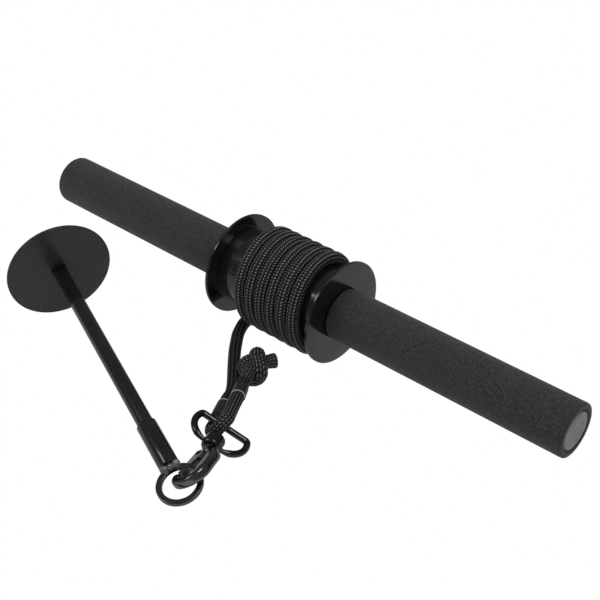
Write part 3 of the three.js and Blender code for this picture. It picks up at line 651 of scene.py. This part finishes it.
materials = {
    "foam": foamMaterial(),
    "paint": paintMaterial("blackPaint", 0.006, 0.010, 0.16, 0.5),
    "satin": paintMaterial("satinPaint", 0.021, 0.027, 0.24, 0.0, 0.04),
    "weld": metalMaterial("weldBead", 0.16, 0.30, 0.2, 0.04, 0.6),
    "ring": metalMaterial("ringSteel", 0.14, 0.19, 0.2, 0.02),
    "hook": metalMaterial("hookPlate", 0.18, 0.26, 0.17, 0.02),
    "rope": ropeMaterial(),
    "band": bandMaterial(),
    "plate": metalMaterial("blackPlate", 0.08, 0.12, 0.2, 0.02),
    "gate": metalMaterial("gateSteel", 0.16, 0.22, 0.34, 0.02, 0.5),
    "rivet": metalMaterial("rivetSteel", 0.02, 0.05, 0.3, 0.02, 0.8),
    "steel": metalMaterial("bareSteel", 0.40, 0.50, 0.32),
    "plug": plugMaterial(),
}


def dress(made, finish, body, *nodes):
    made.data.materials.clear()
    made.data.materials.append(materials[finish])
    if nodes:
        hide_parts(*nodes)
    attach(made, body)
    return made


# Camera first, then every length of rope
makeCamera()
tubeTree = pathTubeTree()

slim, full, thick = rope["radius"], rope["full"], rope["thick"]
for part, first, last in (
    ("Inner", "start", "third"), ("Middle", "third", "twoThirds"), ("Outer", "twoThirds", "leave"),
):
    dress(ropeLength("winding" + part, first, last, (full, full)), "rope", "roller", "rope_winding")
freeParts = [
    ("lead", "leave", "underBar", (full, slim), (0.35, 0.6), "coarse", False),
    ("bight", "underBar", "overBar", (slim, thick), (0, 0), "fine", False),
    ("tail", "overBar", "knotStart", (thick, full), (0, 0.4), "fine", False),
    ("knot", "knotStart", "end", (full, knot["rope"], knot["rope"], knot["stub"]), (0, 0), "fine", True),
]
for part, *shape in freeParts:
    dress(ropeLength("rope" + part.capitalize(), *shape), "rope", "free_rope", "rope_" + part)
bandOne = dress(bandPiece("Standing"), "band", "free_rope", "band_standing")
# Pale line beside the returning rope, a painted highlight.
dress(edgeHighlightLine(), "band", "free_rope", "rope_tail")
dress(stopperBall(), "rope", "roller", "rope_stopper")
dress(bandPiece("Tail"), "band", "free_rope", "band_tail")


print("rope made", len(wholeLine), "rings")

# Roller, with the same driving sizes as the solids
roller = {
    "halfBar": 0.2165, "tube": 0.0127, "tubeWall": 0.0016, "grip": 0.0175, "gripRound": 0.0016,
    "flange": 0.03534, "flangeInner": 0.04255, "flangeThick": 0.002, "flangeRound": 0.0004,
    "drum": 0.026, "drumWall": 0.0015,
}
plug = {
    "head": 0.003, "crown": 0.0004, "domeRadius": 0.007, "dome": 0.0003, "rimDrop": 0.0002, "rimIn": 0.0003,
    "sideIn": 0.0002, "spigot": 0.012, "round": 0.0007,
}
drumEnd = roller["flangeInner"] - gap
drumBore = roller["drum"] - roller["drumWall"]
dress(lathe("spoolDrum", [
    (-drumEnd, drumBore), (-drumEnd, roller["drum"]), (drumEnd, roller["drum"]), (drumEnd, drumBore),
], "roller", 160), "paint", "roller", "drum")


def rollerSide(side, word):
    def turned(piece, profile, segments, edge):
        outline = [(side * along, radius) for along, radius in profile]
        return lathe(piece + word, outline, "roller", segments, edge)

    inner, end = roller["flangeInner"], roller["halfBar"]
    outer = inner + roller["flangeThick"]
    bore = roller["tube"] + gap
    flange = turned("flange", [
        (inner, bore), (inner, roller["flange"]), (outer, roller["flange"]), (outer, bore),
    ], 192, roller["flangeRound"])
    dress(flange, "paint", "roller", "flange_" + word.lower())
    grip = turned("grip", [
        (outer + gap, bore), (outer + gap, roller["grip"]), (end, roller["grip"]), (end, bore),
    ], 128, roller["gripRound"])
    dress(grip, "foam", "roller", "grip_" + word.lower())
    seat = end - plug["head"]
    spigot = roller["tube"] - roller["tubeWall"] - gap
    stop = turned("plug", [
        (end + plug["crown"], 0), (end + plug["dome"], plug["domeRadius"]),
        (end - plug["rimDrop"], roller["tube"] - plug["rimIn"]), (seat, roller["tube"] - plug["sideIn"]),
        (seat, spigot), (seat - plug["spigot"], spigot), (seat - plug["spigot"], 0),
    ], 96, plug["round"])
    dress(stop, "plug", "roller", "plug_" + word.lower())


rollerSide(-1, "Left")
rollerSide(1, "Right")
print("roller made")

# Strap eye and collar
eye = {
    "wire": 0.0021, "wireEnd": 0.0015, "thinTo": 0.003, "fullFrom": 0.007, "step": 0.0005,
    "half": 0.0145, "corner": 0.0018, "turn": 67, "arc": 0.0124, "inCollar": 0.0044,
    "collar": 0.006, "start": 0.0118, "length": 0.010, "bore": 0.0029, "head": 0.0045, "depth": 0.0028,
    "chamfer": 0.001, "chamferLength": 0.0012,
}


def eyeLine():
    half = [(0.0, 0.0), (eye["half"] * 0.5, 0.0), (eye["half"] * 0.9, 0.0)]
    for turn in np.linspace(-90, -90 + eye["turn"], 9):
        a = math.radians(turn)
        half.append((eye["half"] + eye["corner"] * math.cos(a), eye["corner"] + eye["corner"] * math.sin(a)))
    a = math.radians(-90 + eye["turn"])
    centre = half[-1][0] - eye["arc"] * math.cos(a), half[-1][1] - eye["arc"] * math.sin(a)
    last = 180 - math.degrees(math.acos((centre[0] - eye["inCollar"]) / eye["arc"]))
    for turn in np.linspace(-90 + eye["turn"], last, 28)[1:]:
        a = math.radians(turn)
        half.append((centre[0] + eye["arc"] * math.cos(a), centre[1] + eye["arc"] * math.sin(a)))
    mirrored = [(-x, y, 0.0) for x, y in half[:0:-1]]
    return resample(np.array(mirrored + [(x, y, 0.0) for x, y in half]), eye["step"])


# A tube along a flat line in a piece's own plane, with a section that may be squared and flattened
def flatTube(name, line, radii, sides, place, square=2.0, flat=1.0):
    over = np.tile((0.0, 0.0, 1.0), (len(line), 1))
    across = np.cross(directions(line), over)
    turned = places[place][:3, :3]
    angles = np.linspace(0, 2 * math.pi, sides, endpoint=False)
    c, s = np.cos(angles), np.sin(angles)
    scale = (np.abs(c) ** square + np.abs(s) ** square) ** (-1 / square)
    radii = radii.reshape(-1, 1)
    points = ringPoints(
        apply(places[place], line), across @ turned.T, over @ turned.T,
        radii * (c * scale), radii * (s * scale) * flat,
    )
    return quickMesh(name, points, len(line), sides)


eyePath = eyeLine()
order = np.arange(len(eyePath))
fromEnd = np.minimum(order, order[::-1]) * eye["step"]
eyeThick = np.interp(fromEnd, [eye["thinTo"], eye["fullFrom"]], [eye["wireEnd"], eye["wire"]])
dress(flatTube("eyeWire", eyePath, eyeThick, 32, "eye"), "plate", "eye", "swivel_eye")
collarEnd = eye["start"] + eye["length"]
collarSeat = eye["start"] + eye["depth"]
collar = lathe("eyeCollar", [
    (collarEnd, eye["bore"]), (collarEnd, eye["collar"] - eye["chamfer"]),
    (collarEnd - eye["chamferLength"], eye["collar"]), (eye["start"] + eye["chamferLength"], eye["collar"]),
    (eye["start"], eye["collar"] - eye["chamfer"]), (eye["start"], eye["head"]),
    (collarSeat, eye["head"]), (collarSeat, eye["bore"]),
], "eye", 96, 0.0005, "y")
dress(collar, "plate", "eye", "swivel_eye")
print("strap eye made")

# Snap hook. Its rod changes thickness at the shares of its length, and its last rings close the nose.
hook = {
    "width": 0.0187, "length": 0.0336, "neck": 0.003, "spine": 0.0033, "bend": 0.0026, "nose": 0.0022,
    "thickShares": (0, 0.12, 0.25, 0.5, 0.75, 1), "noseShares": (0.97, 0.9, 0.75), "step": 0.0005,
    "grown": 0.0002, "grownShares": (0.1, 0.25), "square": 3.6, "flat": 0.98,
    "rivet": (-0.0039, 0.0056), "tip": (-0.0082, 0.0232),
    "lug": 0.0021, "lugHalf": 0.0011, "lugFoot": (0.0004, 0.0012), "lugLength": 0.0062,
    "shoulder": [
        (-0.0007, 0), (-0.0007, 0.0026), (0.0000, 0.0038), (0.0016, 0.0038), (0.0036, 0.0028), (0.0036, 0),
    ],
}
gate = {"head": 0.0032, "tip": 0.0014, "sheet": 0.0007, "inCheek": 0.0001, "backIn": 0.4}
rivet = {"radius": 0.0011, "head": 0.002, "crownRadius": 0.001, "rise": 0.0006, "crown": 0.0007}


def hookLine():
    half = hook["width"] / 2
    neck = hook["neck"]
    bend = hook["length"] - half
    points = [
        (0, neck * 0.5, 0), (half * 0.375, neck * 1.5, 0), (half * 0.75, neck * 2.5, 0),
        (half, neck * 3.8, 0), (half, (neck * 3.8 + bend) / 2, 0),
    ]
    for turn in np.linspace(0, math.pi, 16):
        points.append((half * math.cos(turn), bend + half * math.sin(turn), 0))
    return catmull(points, hook["step"])


hookPath = hookLine()
hookShare = np.linspace(0, 1, len(hookPath))
hookThick = np.interp(hookShare, hook["thickShares"], [
    hook["bend"], hook["bend"], hook["spine"], hook["spine"], hook["bend"], hook["nose"],
])
hookThick[-3:] *= np.array(hook["noseShares"])
outwards = np.cross(np.gradient(hookPath, axis=0), (0, 0, 1))
outwards /= np.linalg.norm(outwards, axis=1)[:, None]
grown = np.interp(hookShare, hook["grownShares"], [0, hook["grown"]])
hookPath = hookPath + outwards * grown[:, None]
hookRod = flatTube("hookBody", hookPath, hookThick + grown, 40, "hook", hook["square"], hook["flat"])
dress(hookRod, "hook", "hook", "hook_body")
dress(lathe("hookShoulder", hook["shoulder"], "hook", 64, 0.0004, "y"), "hook", "hook", "hook_body")


def extrudeOutline(name, outline, low, high, place, bevel=0.00025):
    work = bmesh.new()
    bottom = [work.verts.new((x, y, low)) for x, y in outline]
    top = [work.verts.new((x, y, high)) for x, y in outline]
    count = len(outline)
    work.faces.new(bottom[::-1])
    work.faces.new(top)
    for i in range(count):
        k = (i + 1) % count
        work.faces.new((bottom[i], bottom[k], top[k], top[i]))
    bmesh.ops.recalc_face_normals(work, faces=work.faces)
    mesh = bpy.data.meshes.new(name)
    work.to_mesh(mesh)
    work.free()
    mesh.transform(Matrix(places[place].tolist()))
    mesh.polygons.foreach_set("use_smooth", [True] * len(mesh.polygons))
    made = linked(name, mesh)
    rounding = made.modifiers.new("edge", "BEVEL")
    rounding.width = bevel
    rounding.segments = 3
    rounding.limit_method = "ANGLE"
    rounding.angle_limit = math.radians(35)
    rounding.harden_normals = True
    return made


def halfCircle(radius, start):
    turns = np.linspace(start, start + math.pi, 17)
    return [(radius * math.cos(a), radius * math.sin(a)) for a in turns]


# The gate is drawn from its rivet towards its tip
def gateSheet(name, outline, low, high, bevel):
    ahead = unit(np.array(hook["tip"]) - np.array(hook["rivet"]))
    side = np.array((ahead[1], -ahead[0]))
    drawn = [tuple(np.array(hook["rivet"]) + side * x + ahead * y) for x, y in outline]
    dress(extrudeOutline(name, drawn, low, high, "hook", bevel), "gate", "gate", "gate")


lugPoint = np.array(hook["rivet"])
lugWay = unit(np.array(hook["lugFoot"]) - lugPoint)
lugSide = np.array((-lugWay[1], lugWay[0]))
lugArc = [lugPoint + lugSide * x - lugWay * y for x, y in halfCircle(hook["lug"], 0)]
lugEnd = [lugPoint + lugWay * hook["lugLength"] + lugSide * side * hook["lug"] for side in (-1, 1)]
lugOutline = [tuple(p) for p in lugArc + lugEnd]
lug = extrudeOutline("hookLug", lugOutline, -hook["lugHalf"], hook["lugHalf"], "hook")
dress(lug, "hook", "hook", "hook_body")

gateLength = math.dist(hook["tip"], hook["rivet"])
cheekIn = hook["lugHalf"] + gap
cheekOut = cheekIn + gate["sheet"]
cheek = [(gate["tip"], gateLength), (-gate["tip"], gateLength)] + halfCircle(gate["head"], math.pi)
gateSheet("gateCheekUpper", cheek, -cheekOut, -cheekIn, 0.0002)
gateSheet("gateCheekLower", cheek, cheekIn, cheekOut, 0.0002)
backEnd = gateLength - gate["sheet"]
gateSheet("gateBack", [
    (-gate["head"], 0), (-gate["tip"], gateLength), (gate["tip"] * gate["backIn"], gateLength),
    (gate["tip"] * gate["backIn"], backEnd), (-gate["tip"] + gate["sheet"], backEnd),
    (-gate["head"] + gate["sheet"], 0),
], -cheekIn - gate["inCheek"], cheekIn + gate["inCheek"], 0.00015)

places["rivet"] = places["hook"].copy()
places["rivet"][:3, 3] = apply(places["hook"], [(*hook["rivet"], 0)])[0]
rivetEnd = cheekOut + gap
upperHalf = [
    (rivetEnd + rivet["crown"], 0), (rivetEnd + rivet["rise"], rivet["crownRadius"]),
    (rivetEnd, rivet["head"]), (rivetEnd, rivet["radius"]),
]
lowerHalf = [(-along, radius) for along, radius in upperHalf[::-1]]
dress(lathe("gateRivet", upperHalf + lowerHalf, "rivet", 40, 0.0003, "z"), "rivet", "hook", "gate_rivet")
print("hook made")

# Loading pin, drawn from the ring's centre towards the disc
pin = {
    "outer": 0.01369, "inner": 0.01019, "thick": 0.0027, "ringRound": 0.0006, "length": 0.2022,
    "sleeve": 0.00615, "sleeveFar": 0.0495, "sleeveBore": 0.024, "bevel": 0.0007, "rod": 0.00494,
    "screw": 0.0032, "screwDepth": 0.016, "screwHead": 0.0059,
    "disc": 0.03528, "discThick": 0.002, "discRound": 0.0004, "seat": 0.001, "seatPlay": 0.00004,
}
halfRing = pin["thick"] / 2
ring = lathe("pinRing", [
    (-halfRing, pin["inner"]), (-halfRing, pin["outer"]), (halfRing, pin["outer"]), (halfRing, pin["inner"]),
], "pin", 160, pin["ringRound"], "z")
dress(ring, "ring", "pin", "ring")
sleeveTop = -pin["outer"] - gap
sleeveHole = pin["rod"] + gap
sleeve = lathe("pinSleeve", [
    (sleeveTop, 0), (sleeveTop, pin["sleeve"]), (pin["bevel"] - pin["sleeveFar"], pin["sleeve"]),
    (-pin["sleeveFar"], pin["sleeve"] - pin["bevel"]), (-pin["sleeveFar"], sleeveHole),
    (-pin["sleeveBore"], sleeveHole), (-pin["sleeveBore"], 0),
], "pin", 96, 0.0004)
dress(sleeve, "paint", "pin", "sleeve")
discSeat = -pin["seat"] - pin["length"]
screwTop = pin["screwDepth"] - pin["length"]
rod = lathe("pinRod", [
    (-pin["sleeveBore"] - gap, 0), (-pin["sleeveBore"] - gap, pin["rod"]), (gap + discSeat, pin["rod"]),
    (gap + discSeat, pin["screw"]), (screwTop, pin["screw"]), (screwTop, 0),
], "pin", 96)
dress(rod, "paint", "pin", "rod")
discBack = -pin["length"] - pin["discThick"]
seatBore = pin["rod"] + pin["seatPlay"]
disc = lathe("pinDisc", [
    (discSeat, pin["screw"]), (discSeat, seatBore), (-pin["length"], seatBore), (-pin["length"], pin["disc"]),
    (discBack, pin["disc"]), (discBack, pin["screwHead"]),
], "pin", 192, pin["discRound"])
dress(disc, "satin", "pin", "disc")

# Weld beads between the ring and the sleeve, each a lump of its own
weld = {
    "bead": 0.0023, "shares": (-0.6, 0.0, 0.6), "lift": 0.25, "inwards": 0.45, "size": 1.2, "smaller": 0.25,
    "narrow": 0.95, "wave": 0.05, "ripple": 0.03, "sink": 0.2, "rows": 18, "columns": 28, "seed": 5,
}


def weldBeads():
    rng = np.random.default_rng(weld["seed"])
    rows, columns, bead = weld["rows"], weld["columns"], weld["bead"]
    lat = np.linspace(0.02, math.pi - 0.02, rows)[:, None]
    lon = np.linspace(0, 2 * math.pi, columns, endpoint=False)[None, :]
    points, faces = [], []
    for index, share in enumerate(weld["shares"]):
        centre = (
            -pin["outer"] + bead * weld["inwards"], share * pin["sleeve"], halfRing + bead * weld["lift"],
        )
        size = np.array((1.0, weld["narrow"], 1.0)) * bead * (weld["size"] - weld["smaller"] * (index % 2))
        wave = 1 + weld["wave"] * np.sin(3 * lon + rng.uniform(0, 6)) * np.sin(2 * lat)
        wave = wave + weld["ripple"] * np.sin(7 * lon + index)
        shape = np.stack([
            wave * np.sin(lat) * np.cos(lon), wave * np.sin(lat) * np.sin(lon), wave * np.cos(lat),
        ], axis=-1) * size + np.array(centre)
        shape[..., 2] = np.maximum(shape[..., 2], halfRing + gap * weld["sink"])
        shape[..., 0] = np.maximum(shape[..., 0], sleeveTop + gap * weld["sink"])
        base = len(points)
        points += list(shape.reshape(-1, 3))
        own = [list(f) for f in gridFaces(rows, columns)] + endCaps(rows, columns)
        faces += [[int(v) + base for v in f] for f in own]
    made = meshPiece("ringWeld", apply(places["pin"], np.array(points)), faces)
    fixNormals(made)
    return made


dress(weldBeads(), "weld", "pin", "ring_weld")

# Solids whose own shape is right keep it, with their finish
for name in ("core_tube", "stud_washer", "gate_spring", "disc_screw"):
    kept = frame["nodes"][name]
    kept.data.materials.clear()
    kept.data.materials.append(materials["steel"])
print("pin made")

# Floor and light
stage = {"half": 4.0, "drop": 0.0004, "matte": 0.85, "mirrored": 0.42, "dim": 0.12}
lights = {
    "keyLight": {"place": (-0.5, -0.3, 1.3), "aim": (0, 0, 0), "size": 1.0, "power": 13, "glossy": False},
    "fillLight": {"place": (1.1, -0.9, 0.7), "aim": (0, 0, 0), "size": 0.9, "power": 5, "glossy": False},
    "backLight": {"place": (0.1, 1.2, 0.9), "aim": (0, 0, 0.03), "size": 1.2, "power": 7, "glossy": False},
    "panelLight": {
        "place": (-0.6, -0.65, 0.75), "aim": (0.02, 0.07, 0.04), "size": 0.3, "power": 1.0, "glossy": True,
    },
    "glintLight": {
        "place": (0.43, -0.04, 1.0), "aim": (0.05, -0.04, 0), "size": 0.45, "power": 2.2, "glossy": True,
    },
}


def areaLight(name, light):
    data = bpy.data.lights.new(name, "AREA")
    data.shape = "RECTANGLE"
    data.size = data.size_y = light["size"]
    data.energy = light["power"]
    made = linked(name, data)
    made.location = light["place"]
    aim = Vector(light["aim"]) - Vector(light["place"])
    made.rotation_euler = aim.to_track_quat("-Z", "Y").to_euler()
    made.visible_glossy = light["glossy"]


def mixedShader(tree, factor, first, second):
    made = tree.nodes.new("ShaderNodeMixShader")
    for target, source in enumerate((factor, first, second)):
        tree.links.new(source, made.inputs[target])
    return made.outputs[0]


def emptyTree(owner):
    owner.use_nodes = True
    owner.node_tree.nodes.clear()
    return owner.node_tree


# The floor is white to the camera, dimmer in reflections, and matte to the light itself
def stageMaterial():
    made = bpy.data.materials.new("stagePale")
    tree = emptyTree(made)
    matteColour = (stage["matte"], stage["matte"], stage["matte"], 1)
    seen = node(tree, "ShaderNodeEmission", Color=(1, 1, 1, 1), Strength=1.0)
    mirrored = node(tree, "ShaderNodeEmission", Color=(1, 1, 1, 1), Strength=stage["mirrored"])
    matte = node(tree, "ShaderNodeBsdfDiffuse", Color=matteColour)
    path = node(tree, "ShaderNodeLightPath")
    glossy = mixedShader(tree, path.outputs["Is Glossy Ray"], matte.outputs[0], mirrored.outputs[0])
    shown = mixedShader(tree, path.outputs["Is Camera Ray"], glossy, seen.outputs[0])
    tree.links.new(shown, node(tree, "ShaderNodeOutputMaterial").inputs["Surface"])
    return made


def makeWorld():
    world = bpy.data.worlds.new("studio")
    bpy.context.scene.world = world
    tree = emptyTree(world)
    white = node(tree, "ShaderNodeBackground", Color=(1, 1, 1, 1), Strength=1.0)
    dim = node(tree, "ShaderNodeBackground", Color=(1, 1, 1, 1), Strength=stage["dim"])
    path = node(tree, "ShaderNodeLightPath")
    mixed = mixedShader(tree, path.outputs["Is Camera Ray"], dim.outputs[0], white.outputs[0])
    tree.links.new(mixed, node(tree, "ShaderNodeOutputWorld").inputs["Surface"])


def makeStage():
    half, drop = stage["half"], -stage["drop"]
    corners = [(-half, -half, drop), (half, -half, drop), (half, half, drop), (-half, half, drop)]
    floor = meshPiece("stageFloor", corners, [(0, 1, 2, 3)], False)
    floor.data.materials.append(stageMaterial())
    makeWorld()
    for name, light in lights.items():
        areaLight(name, light)


makeStage()
print("stage made")
bpy.context.scene.view_settings.view_transform = "Standard"
bpy.context.view_layer.update()
